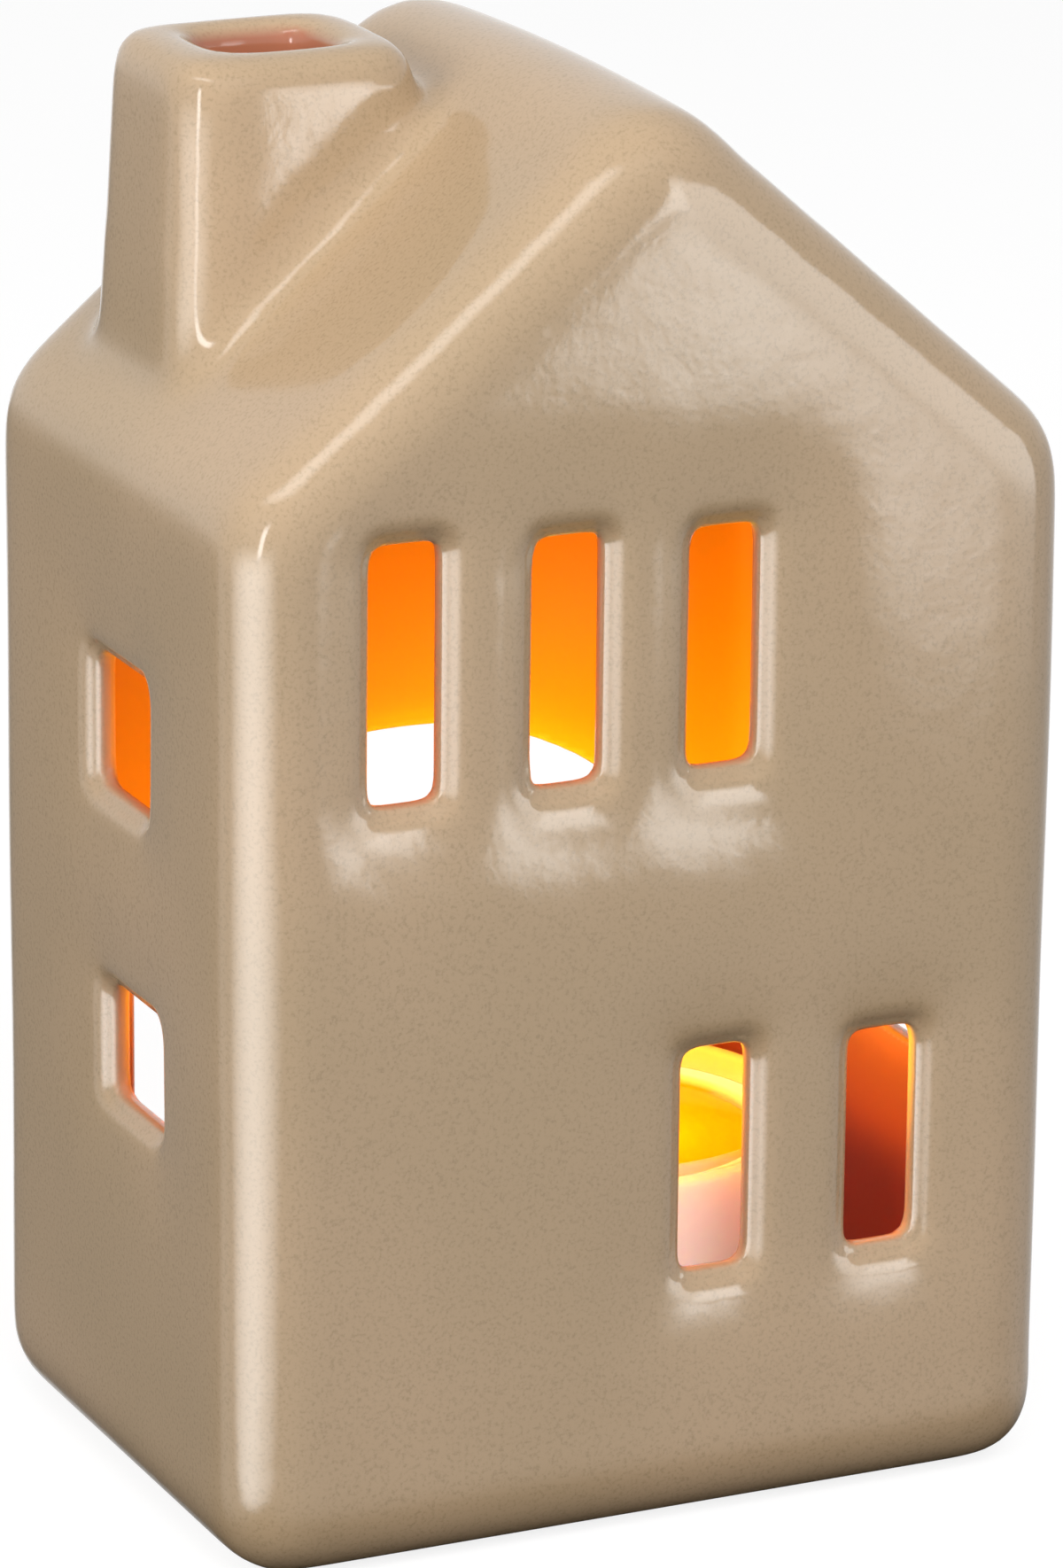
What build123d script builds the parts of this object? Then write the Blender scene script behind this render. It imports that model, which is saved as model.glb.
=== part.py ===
from build123d import *
import math
import os

# Tealight house in glazed earthenware, with the candle that stands in it. Millimetres, +Z up.
# The gable front faces -Y, the arch that takes the candle faces +Y, and the origin is under
# the centre of the base.

# House: the sharp-cornered gable prism, and the radii that round it outside
HOUSE_WIDTH = 80.0
HOUSE_DEPTH = 59.4
EAVE_HEIGHT = 96.4
RIDGE_HEIGHT = 131.0
BASE_RADIUS = 6.6
EAVE_RADIUS = 9.4
RIDGE_RADIUS = 9.0
EDGE_RADIUS = 6.2

# Shell: one even wall, whose inner radii are smaller than the outer ones by its thickness
WALL = 4.0
FLOOR_THICKNESS = 4.4
SMALLEST_INNER_RADIUS = 1.0

# Underside: a foot ring round a shallow recess, so that the base can't rock
FOOT_RECESS_DEPTH = 2.0
FOOT_RING_WIDTH = 5.0
FOOT_RECESS_CORNER_RADIUS = 5.0
FOOT_RECESS_EDGE_RADIUS = 0.8

# Chimney: a shaft on the left slope that widens downwards, most of all on its uphill side. Its
# centre is measured from the left wall and towards the back
CHIMNEY_UNDER_RIDGE = 1.2
CHIMNEY_TOP_INSET = 18.1
CHIMNEY_TOP_Y = 8.5
CHIMNEY_TOP_WIDTH = 22.6
CHIMNEY_TOP_DEPTH = 20.2
CHIMNEY_FOOT_INSET = 19.7
CHIMNEY_FOOT_Y = 7.0
CHIMNEY_FOOT_WIDTH = 29.8
CHIMNEY_FOOT_DEPTH = 23.6
CHIMNEY_CORNER_RADIUS = 4.5
CHIMNEY_RIM_RADIUS = 2.4
CHIMNEY_ROOT_RADIUS = 1.6

# Flue: the way out for warm air, from the room up through the chimney, off centre in its walls
FLUE_LEFT_WALL = 6.4
FLUE_RIGHT_WALL = 5.4
FLUE_FRONT_WALL = 5.6
FLUE_BACK_WALL = 4.8
FLUE_TAPER_ANGLE = 1.5
FLUE_CORNER_RADIUS = 2.2
FLUE_RIM_RADIUS = 1.5

# Front windows: slots cut by hand in four columns, three above and two below. The columns are
# shares of the house's width, and the sills are shares of its eave height
WINDOW_WIDTH = 7.4
WINDOW_CORNER_RADIUS = 1.4
COLUMN_SHARES = (-0.301, -0.111, 0.075, 0.28)
UPPER_SILL_SHARE = 0.723
LOWER_SILL_SHARE = 0.242
FIRST_UPPER_HEIGHT = 24.0
SECOND_UPPER_HEIGHT = 23.1
THIRD_UPPER_HEIGHT = 22.4
THIRD_LOWER_HEIGHT = 21.5
FOURTH_LOWER_HEIGHT = 20.9

# Side windows: a square one over a lower one in both side walls, cut by hand, so that the lower
# sill on the right is deeper. Their centres are shares of the house's depth, and their sills are
# shares of its eave height
SIDE_WINDOW_WIDTH = 13.2
SIDE_WINDOW_CORNER_RADIUS = 1.6
SIDE_UPPER_CENTRE_SHARE = 0.007
SIDE_UPPER_SILL_SHARE = 0.66
SIDE_UPPER_HEIGHT = 13.2
SIDE_LOWER_CENTRE_SHARE = -0.044
LEFT_LOWER_SILL_SHARE = 0.368
RIGHT_LOWER_SILL_SHARE = 0.344
SIDE_LOWER_HEIGHT = 11.4

# Every window flares out through the outside of the wall. A soft lip runs from the wall into the
# flare, and the flare meets the opening in a crisp arris
WINDOW_FLARE_DEPTH = 0.8
WINDOW_FLARE_ANGLE = 45.0
WINDOW_LIP_RADIUS = 2.6

# Back arch: upright sides from the floor, round shoulders and a flattened crown, with this much
# of the back wall left on each side of it
ARCH_SIDE_WALL = 13.0
ARCH_HEIGHT = 52.6
ARCH_CROWN_RISE = 12.2
ARCH_SHOULDER_RADIUS = 15.0
ARCH_SILL_CORNER_RADIUS = 2.0
ARCH_LIP_RADIUS = 1.5

# Cup of the tealight, in clear plastic: it stands on the floor of the house
CANDLE_X = 7.0
CANDLE_Y = -1.0
CUP_DIAMETER = 38.0
CUP_HEIGHT = 24.0
CUP_WALL = 0.6
CUP_TAPER = 0.6
CUP_FOOT_RADIUS = 1.6
CUP_LIP_WIDTH = 0.5
CUP_LIP_HEIGHT = 1.0
CUP_LIP_RADIUS = 0.3

# Wax: it fills the cup to just under its mouth, with a melted pool round the wick
WAX_CLEARANCE = 0.1
WAX_UNDER_LIP = 2.2
WAX_RIM_WIDTH = 1.8
WAX_POOL_DEPTH = 0.9
WAX_POOL_EDGE_RADIUS = 0.4

# Wick holder: a thin steel disc with a neck round the wick
HOLDER_DIAMETER = 12.4
HOLDER_THICKNESS = 0.4
NECK_HEIGHT = 4.4
NECK_WALL = 0.4
NECK_ROOT_RADIUS = 0.6

# Wick: braided cotton, upright in the wax and bent over at its burnt tip
WICK_DIAMETER = 1.6
WICK_RISE = 3.0
WICK_BEND_RADIUS = 8.0
WICK_BEND_ANGLE = 38.0
WICK_TIP_RADIUS = 0.4

# Clearance round the wick and its holder, and how far cuts run past what they cut
SEAT_CLEARANCE = 0.05
OVERRUN = 10.0

FLOOR_TOP = FOOT_RECESS_DEPTH + FLOOR_THICKNESS
SLOPE_ANGLE = math.atan2(RIDGE_HEIGHT - EAVE_HEIGHT, HOUSE_WIDTH / 2)
CHIMNEY_TOP = RIDGE_HEIGHT - CHIMNEY_UNDER_RIDGE
CHIMNEY_TOP_X = CHIMNEY_TOP_INSET - HOUSE_WIDTH / 2
CHIMNEY_FOOT_X = CHIMNEY_FOOT_INSET - HOUSE_WIDTH / 2
WAX_HEIGHT = CUP_HEIGHT - WAX_UNDER_LIP
CANDLE_SEAT = Pos(CANDLE_X, CANDLE_Y, FLOOR_TOP)


def gable_prism(inset, base):
    """The gable outline moved in by inset from the walls and the roof, drawn from front to back
    and rounded on every corner and edge. Its underside lies at the height base."""
    half_width = HOUSE_WIDTH / 2 - inset
    ridge = RIDGE_HEIGHT - inset / math.cos(SLOPE_ANGLE)
    eave = ridge - half_width * math.tan(SLOPE_ANGLE)
    ridge_radius, eave_radius, base_radius, edge_radius = [
        max(radius - inset, SMALLEST_INNER_RADIUS)
        for radius in (RIDGE_RADIUS, EAVE_RADIUS, BASE_RADIUS, EDGE_RADIUS)
    ]
    outline = make_face(
        Polyline((-half_width, base), (half_width, base), (half_width, eave), (0, ridge),
                 (-half_width, eave), close=True)
    )
    outline = fillet(outline.vertices().group_by(Axis.Y)[-1], ridge_radius)
    outline = fillet(outline.vertices().group_by(Axis.Y)[1], eave_radius)
    outline = fillet(outline.vertices().group_by(Axis.Y)[0], base_radius)
    body = extrude(Plane.XZ * outline, amount=HOUSE_DEPTH / 2 - inset, both=True)
    ends = body.faces().sort_by(Axis.Y)
    return fillet(ends[0].edges() + ends[-1].edges(), edge_radius)


def chimney_shaft():
    """The chimney's outside, from its top down to eave height, with a soft rim."""
    top = RectangleRounded(CHIMNEY_TOP_WIDTH, CHIMNEY_TOP_DEPTH, CHIMNEY_CORNER_RADIUS)
    foot = RectangleRounded(CHIMNEY_FOOT_WIDTH, CHIMNEY_FOOT_DEPTH, CHIMNEY_CORNER_RADIUS)
    shaft = loft([
        Pos(CHIMNEY_FOOT_X, CHIMNEY_FOOT_Y, EAVE_HEIGHT) * foot,
        Pos(CHIMNEY_TOP_X, CHIMNEY_TOP_Y, CHIMNEY_TOP) * top,
    ], ruled=True)
    return fillet(shaft.faces().sort_by(Axis.Z)[-1].edges(), CHIMNEY_RIM_RADIUS)


def with_chimney(house):
    """Sets the chimney on the left slope, with a soft root where they meet."""
    shaft = chimney_shaft()
    joined = house + shaft
    return fillet(new_edges(house, shaft, combined=joined), CHIMNEY_ROOT_RADIUS)


def with_flue(house):
    """Opens the chimney down to the room and rounds the mouth."""
    width = CHIMNEY_TOP_WIDTH - FLUE_LEFT_WALL - FLUE_RIGHT_WALL
    depth = CHIMNEY_TOP_DEPTH - FLUE_FRONT_WALL - FLUE_BACK_WALL
    x = CHIMNEY_TOP_X + (FLUE_LEFT_WALL - FLUE_RIGHT_WALL) / 2
    y = CHIMNEY_TOP_Y + (FLUE_FRONT_WALL - FLUE_BACK_WALL) / 2
    mouth = Pos(x, y, CHIMNEY_TOP) * RectangleRounded(width, depth, FLUE_CORNER_RADIUS)
    house = house - extrude(mouth, amount=EAVE_HEIGHT - CHIMNEY_TOP, taper=-FLUE_TAPER_ANGLE)
    rim = house.faces().filter_by(Axis.Z).sort_by(Axis.Z)[-1]
    return fillet(rim.inner_wires()[0].edges(), FLUE_RIM_RADIUS)


def with_foot_recess(house):
    """Hollows the underside inside the foot ring."""
    width = HOUSE_WIDTH - 2 * (BASE_RADIUS + FOOT_RING_WIDTH)
    depth = HOUSE_DEPTH - 2 * (EDGE_RADIUS + FOOT_RING_WIDTH)
    recess = extrude(RectangleRounded(width, depth, FOOT_RECESS_CORNER_RADIUS), amount=FOOT_RECESS_DEPTH)
    return house - fillet(recess.faces().sort_by(Axis.Z)[-1].edges(), FOOT_RECESS_EDGE_RADIUS)


def window_cutter(wall, centre, width, height, corner_radius):
    """The cutter of one window: from the middle of the house out through the outer face of a wall,
    round a centre on it, with the flare."""
    flare_width = WINDOW_FLARE_DEPTH * math.tan(math.radians(WINDOW_FLARE_ANGLE))
    slot = RectangleRounded(width, height, corner_radius)
    mouth = RectangleRounded(width + 2 * flare_width, height + 2 * flare_width, corner_radius + flare_width)
    throat = wall.offset(-WINDOW_FLARE_DEPTH)
    middle_of_house = wall.origin.length
    return (
        extrude(wall * centre * slot, amount=OVERRUN)
        + loft([wall * centre * mouth, throat * centre * slot], ruled=True)
        + extrude(throat * centre * slot, amount=WINDOW_FLARE_DEPTH - middle_of_house)
    )


def front_window_cutters():
    """The cutters of the five front windows."""
    first, second, third, fourth = [share * HOUSE_WIDTH for share in COLUMN_SHARES]
    upper_sill = UPPER_SILL_SHARE * EAVE_HEIGHT
    lower_sill = LOWER_SILL_SHARE * EAVE_HEIGHT
    windows = (
        (first, upper_sill, FIRST_UPPER_HEIGHT),
        (second, upper_sill, SECOND_UPPER_HEIGHT),
        (third, upper_sill, THIRD_UPPER_HEIGHT),
        (third, lower_sill, THIRD_LOWER_HEIGHT),
        (fourth, lower_sill, FOURTH_LOWER_HEIGHT),
    )
    wall = Plane.XZ.offset(HOUSE_DEPTH / 2)
    return [
        window_cutter(wall, Pos(x, sill + height / 2), WINDOW_WIDTH, height, WINDOW_CORNER_RADIUS)
        for x, sill, height in windows
    ]


def side_window_cutters():
    """The cutters of the side windows, two in each side wall."""
    windows = (
        (-1, SIDE_UPPER_CENTRE_SHARE, SIDE_UPPER_SILL_SHARE, SIDE_UPPER_HEIGHT),
        (1, SIDE_UPPER_CENTRE_SHARE, SIDE_UPPER_SILL_SHARE, SIDE_UPPER_HEIGHT),
        (-1, SIDE_LOWER_CENTRE_SHARE, LEFT_LOWER_SILL_SHARE, SIDE_LOWER_HEIGHT),
        (1, SIDE_LOWER_CENTRE_SHARE, RIGHT_LOWER_SILL_SHARE, SIDE_LOWER_HEIGHT),
    )
    cutters = []
    for side, centre_share, sill_share, height in windows:
        wall = Plane((side * HOUSE_WIDTH / 2, 0, 0), x_dir=(0, side, 0), z_dir=(side, 0, 0))
        centre = Pos(side * centre_share * HOUSE_DEPTH, sill_share * EAVE_HEIGHT + height / 2)
        cutters.append(
            window_cutter(wall, centre, SIDE_WINDOW_WIDTH, height, SIDE_WINDOW_CORNER_RADIUS)
        )
    return cutters


def with_windows(house):
    """Cuts the windows and softens their lips. Of the flat faces across an axis, the first and the
    last are the outsides of two walls."""
    for cutter in front_window_cutters() + side_window_cutters():
        house = house - cutter
    for axis, wall in ((Axis.Y, 0), (Axis.X, 0), (Axis.X, -1)):
        house = with_lips(house, axis, wall, WINDOW_LIP_RADIUS)
    return house


def with_lips(house, axis, wall, radius):
    """Rounds the edges of every opening in one of the flat faces across an axis."""
    face = house.faces().filter_by(axis).sort_by(axis)[wall]
    return fillet([edge for wire in face.inner_wires() for edge in wire.edges()], radius)


def with_back_arch(house):
    """Cuts the arch through the back wall, level with the floor, and softens its lip."""
    half_width = HOUSE_WIDTH / 2 - ARCH_SIDE_WALL
    crown = FLOOR_TOP + ARCH_HEIGHT
    shoulder = crown - ARCH_CROWN_RISE
    outline = make_face(
        Polyline((-half_width, shoulder), (-half_width, FLOOR_TOP), (half_width, FLOOR_TOP),
                 (half_width, shoulder))
        + ThreePointArc((half_width, shoulder), (0, crown), (-half_width, shoulder))
    )
    outline = fillet(outline.vertices().group_by(Axis.Y)[-1], ARCH_SHOULDER_RADIUS)
    outline = fillet(outline.vertices().group_by(Axis.Y)[0], ARCH_SILL_CORNER_RADIUS)
    house = house - extrude(Plane.XZ * outline, amount=-HOUSE_DEPTH / 2 - OVERRUN)
    return with_lips(house, Axis.Y, -1, ARCH_LIP_RADIUS)


def ceramic_house():
    """The slip-cast house: one shell with its chimney, foot ring, windows and back arch."""
    house = with_chimney(gable_prism(0, 0))
    house = house - gable_prism(WALL, FLOOR_TOP)
    house = with_flue(house)
    house = with_foot_recess(house)
    house = with_windows(house)
    return with_back_arch(house)


def turned(section):
    """A piece of the candle, turned from half of its section about the candle's own axis."""
    return CANDLE_SEAT * revolve(Plane.XZ * section, Axis.Z)


def rounded_at(section, point, radius):
    """Rounds the corner of a section that lies nearest to a point."""
    return fillet(section.vertices().sort_by_distance((point[0], point[1], 0))[0], radius)


def cup_radius(height):
    """The outer radius of the cup's tapering wall at a height above its foot."""
    mouth_radius = CUP_DIAMETER / 2 - CUP_LIP_WIDTH
    return mouth_radius - CUP_TAPER * (1 - height / CUP_HEIGHT)


def tealight_cup():
    """The clear cup: a tapering wall with a rounded foot and a flat lip round its mouth."""
    lip_radius = CUP_DIAMETER / 2
    under_lip = CUP_HEIGHT - CUP_LIP_HEIGHT
    foot = (cup_radius(0), 0)
    inner_corner = (cup_radius(CUP_WALL) - CUP_WALL, CUP_WALL)
    section = make_face(Polyline(
        (0, 0), foot, (cup_radius(under_lip), under_lip), (lip_radius, under_lip),
        (lip_radius, CUP_HEIGHT), (cup_radius(CUP_HEIGHT) - CUP_WALL, CUP_HEIGHT),
        inner_corner, (0, CUP_WALL), close=True))
    section = rounded_at(section, foot, CUP_FOOT_RADIUS)
    section = rounded_at(section, inner_corner, CUP_FOOT_RADIUS - CUP_WALL)
    section = rounded_at(section, (lip_radius, CUP_HEIGHT), CUP_LIP_RADIUS)
    return turned(section)


def candle_wax():
    """The wax: cast round the wick holder, with a lower pool of melted wax round the wick."""
    bottom_corner = (cup_radius(CUP_WALL) - CUP_WALL - WAX_CLEARANCE, CUP_WALL)
    top_corner = (cup_radius(WAX_HEIGHT) - CUP_WALL - WAX_CLEARANCE, WAX_HEIGHT)
    pool = WAX_HEIGHT - WAX_POOL_DEPTH
    pool_edge = top_corner[0] - WAX_RIM_WIDTH
    pool_radius = pool_edge - WAX_POOL_DEPTH
    wick_side = WICK_DIAMETER / 2 + SEAT_CLEARANCE
    neck_side = wick_side + NECK_WALL + SEAT_CLEARANCE
    neck_top = CUP_WALL + NECK_HEIGHT + SEAT_CLEARANCE
    disc_side = HOLDER_DIAMETER / 2 + SEAT_CLEARANCE
    disc_top = CUP_WALL + HOLDER_THICKNESS + SEAT_CLEARANCE
    section = make_face(Polyline(
        (disc_side, CUP_WALL), bottom_corner, top_corner, (pool_edge, WAX_HEIGHT),
        (pool_radius, pool), (wick_side, pool), (wick_side, neck_top), (neck_side, neck_top),
        (neck_side, disc_top), (disc_side, disc_top), close=True))
    section = rounded_at(section, bottom_corner, CUP_FOOT_RADIUS - CUP_WALL + WAX_CLEARANCE)
    section = rounded_at(section, (neck_side, disc_top), NECK_ROOT_RADIUS)
    section = rounded_at(section, (pool_radius, pool), WAX_POOL_EDGE_RADIUS)
    section = rounded_at(section, (pool_edge, WAX_HEIGHT), WAX_POOL_EDGE_RADIUS)
    return turned(section)


def wick_holder():
    """The wick holder: a flat disc on the cup's floor, drawn up into a neck."""
    bore = WICK_DIAMETER / 2 + SEAT_CLEARANCE
    neck = bore + NECK_WALL
    disc_top = CUP_WALL + HOLDER_THICKNESS
    section = make_face(Polyline(
        (bore, CUP_WALL), (HOLDER_DIAMETER / 2, CUP_WALL), (HOLDER_DIAMETER / 2, disc_top),
        (neck, disc_top), (neck, CUP_WALL + NECK_HEIGHT), (bore, CUP_WALL + NECK_HEIGHT), close=True))
    return turned(rounded_at(section, (neck, disc_top), NECK_ROOT_RADIUS))


def wick():
    """The wick: a cotton cord from the cup's floor up through the wax, bent over above the pool."""
    start = (0, 0, CUP_WALL)
    bend_start = (0, 0, WAX_HEIGHT - WAX_POOL_DEPTH + WICK_RISE)
    angle = math.radians(WICK_BEND_ANGLE)
    bend_end = (
        WICK_BEND_RADIUS * (1 - math.cos(angle)), 0, bend_start[2] + WICK_BEND_RADIUS * math.sin(angle)
    )
    route = Line(start, bend_start) + TangentArc(bend_start, bend_end, tangent=(0, 0, 1))
    cord = sweep(Pos(0, 0, CUP_WALL) * Circle(WICK_DIAMETER / 2), path=route)
    tip = cord.faces().sort_by(Axis.Z)[-1]
    return CANDLE_SEAT * fillet(tip.edges(), WICK_TIP_RADIUS)


PIECES = {
    "ceramic_house": (ceramic_house, (0.70, 0.63, 0.52)),
    "tealight_cup": (tealight_cup, (0.92, 0.94, 0.95)),
    "candle_wax": (candle_wax, (0.96, 0.93, 0.86)),
    "wick_holder": (wick_holder, (0.62, 0.63, 0.65)),
    "wick": (wick, (0.88, 0.85, 0.78)),
}

os.makedirs("parts", exist_ok=True)
for name, (make, colour) in PIECES.items():
    piece = make()
    piece.label = name
    piece.color = Color(*colour)
    export_step(piece, os.path.join("parts", name + ".step"))
    print(f"{name}: {piece.volume:.1f} mm3, valid {piece.is_valid}")
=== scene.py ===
import math
from typing import NamedTuple

import bpy
import numpy as np
from mathutils import Matrix, Vector
from mathutils.kdtree import KDTree


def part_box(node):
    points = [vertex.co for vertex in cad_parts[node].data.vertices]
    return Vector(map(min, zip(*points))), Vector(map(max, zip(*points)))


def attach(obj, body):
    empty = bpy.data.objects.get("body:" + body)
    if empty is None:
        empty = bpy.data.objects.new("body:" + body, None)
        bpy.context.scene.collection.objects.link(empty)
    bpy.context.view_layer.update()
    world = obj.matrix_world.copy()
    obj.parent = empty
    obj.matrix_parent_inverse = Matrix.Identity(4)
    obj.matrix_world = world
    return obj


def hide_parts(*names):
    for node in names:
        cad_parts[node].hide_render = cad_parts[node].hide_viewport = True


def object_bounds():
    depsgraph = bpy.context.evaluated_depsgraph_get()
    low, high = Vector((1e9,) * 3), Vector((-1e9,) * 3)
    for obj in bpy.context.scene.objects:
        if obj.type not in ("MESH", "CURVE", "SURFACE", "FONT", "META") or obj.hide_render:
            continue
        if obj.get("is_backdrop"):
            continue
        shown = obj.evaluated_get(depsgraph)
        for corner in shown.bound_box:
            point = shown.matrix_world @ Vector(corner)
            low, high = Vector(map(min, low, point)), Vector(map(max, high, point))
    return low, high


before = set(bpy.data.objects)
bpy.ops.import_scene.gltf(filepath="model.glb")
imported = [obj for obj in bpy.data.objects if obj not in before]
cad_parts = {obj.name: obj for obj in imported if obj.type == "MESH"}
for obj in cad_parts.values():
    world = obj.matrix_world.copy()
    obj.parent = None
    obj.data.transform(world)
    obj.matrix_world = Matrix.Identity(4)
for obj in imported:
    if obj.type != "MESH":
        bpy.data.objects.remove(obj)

# The looks of a tealight house in glazed earthenware and of the lit candle that stands in it.
# Metres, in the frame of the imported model: +Z up, and the gable front faces -Y.

bl_info = {
    "name": "Tealight House",
    "version": (1, 0, 0),
    "blender": (4, 5, 0),
    "location": "3D View > Sidebar > Tealight House",
    "description": "Glazes the house, lights its candle and sets up a small studio round it",
    "category": "Object",
}

MM = 0.001
CAD_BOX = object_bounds()
WELD_DISTANCE = 0.001 * MM

# House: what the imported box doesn't say
HOUSE_LOW, HOUSE_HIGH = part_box("ceramic_house")
EAVE_HEIGHT = 96.4 * MM
RIDGE_HEIGHT = 131.0 * MM
SLOPE_ANGLE = math.atan2(RIDGE_HEIGHT - EAVE_HEIGHT, HOUSE_HIGH.x)
FLUE_LOW = Vector((-27.4, 3.4, 90.0)) * MM
FLUE_HIGH = Vector((-15.4, 14.4, 129.0)) * MM

# House: how deep in a wall the points lie that count as jambs, and what they keep clear of
JAMB_STARTS = 1.2 * MM
JAMB_ENDS = 3.0 * MM
CORNER_CLEARANCE = 5.0 * MM
FLUE_CLEARANCE = 3.0 * MM
FOOT_CLEARANCE = 8.0 * MM

# House: where its mesh is made finer, where coarser, and the share of faces that is kept there
FINE_DEPTH = 3.6 * MM
FINE_BACK = 15.0 * MM
COARSE_DEPTH = 4.4 * MM
COARSE_SHARE = 0.15

# The next six groups are bands in millimetres, over each of which a share rises from 0 to 1.
# House: distance from the nearest jamb, sill or head of an opening
OFF_JAMB = (2.5, 5.0)
SOFT_OFF_JAMB = (3.0, 8.0)
TRIM_OFF_JAMB = (1.0, 3.0)

# House: depth under the nearest outer plane
INSIDE_WALL = (3.2, 3.9)
INSIDE_OPENING = (0.4, 2.4)
DISH_DEPTH = (1.0, 3.0)
TRIM_START = (0.6, 1.6)
TRIM_END = (3.2, 4.4)
# Where the painted warm candlelight on the jambs sets in
JAMB_GLOW_DEPTH = (1.2, 2.6)
ROOM_CLAY = (2.8, 3.6)

# House: depth inside the flue's walls
INSIDE_FLUE = (0.4, 2.4)
FLUE_CLAY = (-0.6, 0.6)

# House: height, and distance to either side of the ridge
SOFT_OFF_FOOT = (1.0, 5.0)
WOBBLE_OFF_FOOT = (2.0, 12.0)
CROWN_HEIGHT = (120.0, 127.0)
CROWN_WIDTH = (7.0, 10.0)

# House: how much nearer a point is to a side wall than to an end wall
DISH_CORNER = (-4.0, 4.0)

# House: how far a point stands out from its heavily smoothed place, or lies under it
EDGE_STANDS_OUT = (0.3, 1.4)
HOLLOW_LIES_DEEP = (0.1, 0.9)

# House: the run of one radian of the slow waves in its walls, and the radians where two of them start
QUILT_ACROSS = 9.0 * MM
QUILT_UP = 13.0 * MM
QUILT_START = 1.0
SLANT_THROUGH = 8.0 * MM
SLANT_UP = 17.0 * MM
STEEP_UP = 7.0 * MM
STEEP_ACROSS = 21.0 * MM
STEEP_START = 2.0

# Glaze: ranges of its noise, and the heights between which the painted shade low in the room fades out
CLOUD_RANGE = (0.30, 0.70)
CLOUD_BASE = 0.30
CLOUD_ROUGHNESS = 0.03
FLECK_RANGE = (0.45, 0.75)
FINE_PEEL_GRAIN = 0.7 * MM
PEEL_SHARE = 0.8
ROOM_SHADE_FULL_BELOW = 16.0 * MM
ROOM_SHADE_GONE_ABOVE = 48.0 * MM

# Cup: turned about the axis of the candle
CUP_LOW, CUP_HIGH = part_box("tealight_cup")
CANDLE_AXIS = (CUP_LOW + CUP_HIGH) / 2
CUP_SIDES = 96
CUP_WALL = 0.6 * MM
CUP_RADIUS = CUP_HIGH.x - CANDLE_AXIS.x
CUP_FOOT_RADIUS = CUP_RADIUS - 1.1 * MM
CUP_FLAT_RADIUS = CUP_FOOT_RADIUS - 5.0 * MM
CUP_FOOT_ROUND = 1.6 * MM
CUP_NECK_RADIUS = CUP_RADIUS - 0.55 * MM
CUP_MOUTH_RADIUS = CUP_RADIUS - 1.1 * MM
CUP_LIP_HEIGHT = 1.0 * MM
CUP_LIP_UNDERCUT = 0.2 * MM
CUP_LIP_ROUND = 0.3 * MM
CUP_RIPPLE_GRAIN = 3.0 * MM
CUP_RIPPLE_DEPTH = 0.01 * MM
CUP_ROUGHNESS = 0.04
CUP_RIPPLE_ROUGHNESS = 0.04

# Wax, and its melted pool round the wick
WAX_LOW, WAX_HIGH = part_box("candle_wax")
WAX_SIDES = 96
WAX_RADIUS = WAX_HIGH.x - CANDLE_AXIS.x
WAX_FLAT_RADIUS = WAX_RADIUS - 6.0 * MM
WAX_FOOT_INSET = 0.5 * MM
WAX_FOOT_ROUND = 1.1 * MM
WAX_RIM_WIDTH = 1.8 * MM
WAX_RIM_ROUND = 0.4 * MM
WAX_CLOUD_GRAIN = 4.0 * MM
WAX_CLOUD_SHARE = 0.12
WAX_CLOUD_DEPTH = 0.12 * MM
WAX_ROUGHNESS = 0.42
POOL_ROUGHNESS = 0.08
POOL_DEPTH = 0.9 * MM
POOL_LEVEL = WAX_HIGH.z - POOL_DEPTH
POOL_BANK_WIDTH = 1.1 * MM
POOL_BANK_ROUND = 0.5 * MM
POOL_EDGE_RADIUS = WAX_RADIUS - 2.6 * MM
POOL_EDGE_WIDTH = 1.0 * MM
POOL_SAG = 0.05 * MM
POOL_SAG_INSET = 5.0 * MM
POOL_CLIMB = 0.6 * MM

# Wax by the wick: millimetres out from the axis and up from the pool's level
POOL_BY_WICK = ((4.0, -0.08), (2.0, 0.0), (1.2, 0.18))

# Wick: its shaft and tip are shares of its radius
WICK_SIDES = 30
WICK_RINGS = 70
WICK_RADIUS = 0.8 * MM
WICK_SHAFT = 0.95
WICK_TIP = (0.8, 0.45)
WICK_STRAIGHT = 3.0 * MM
WICK_BEND_RADIUS = 8.0 * MM
WICK_BEND_ANGLE = math.radians(38)
WICK_STRANDS = 3
WICK_TWIST = 1.1 * MM
STRAND_HOLLOW = 0.80
STRAND_SWELL = 0.22
STRAND_GRAIN = 0.25 * MM
STRAND_DEPTH = 0.15 * MM
BURN_FRAY = 1.5 * MM
BURN_STARTS = WAX_HIGH.z + 0.4 * MM
BURN_ENDS = WAX_HIGH.z + 2.6 * MM
COTTON_ROUGHNESS = 0.6
CHAR_ROUGHNESS = 0.9

# Wick holder
STEEL_GRAIN = 0.4 * MM
STEEL_GRAIN_DEPTH = 0.01 * MM
STEEL_ROUGHNESS = 0.2
STEEL_GRAIN_ROUGHNESS = 0.2

# Flame: how it swells and narrows between its foot and its point, the shares of its height where its
# colours change, and the place and softness of its lamps
FLAME_SIDES = 32
FLAME_RINGS = 24
FLAME_DIP = 2.4 * MM
FLAME_POINT = 0.05 * MM
FLAME_BELLY = 0.62
FLAME_FULLNESS = 0.8
FLAME_TAPER = 0.35
FLAME_FOOT_TINT = (0.05, 0.40)
FLAME_TIP_TINT = 0.60
GLOW_PLACE = 0.15
LAMP_DROP = 1.0 * MM
LAMP_SPREAD = 1.4
LAMP_BLEND = 0.3

# Studio, with the point that the camera looks at
FLOOR_SIZE = 12.0
SENSOR_HEIGHT = 36.0
CAMERA_TARGET = Vector((0.89, 0, 60.98)) * MM


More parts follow.
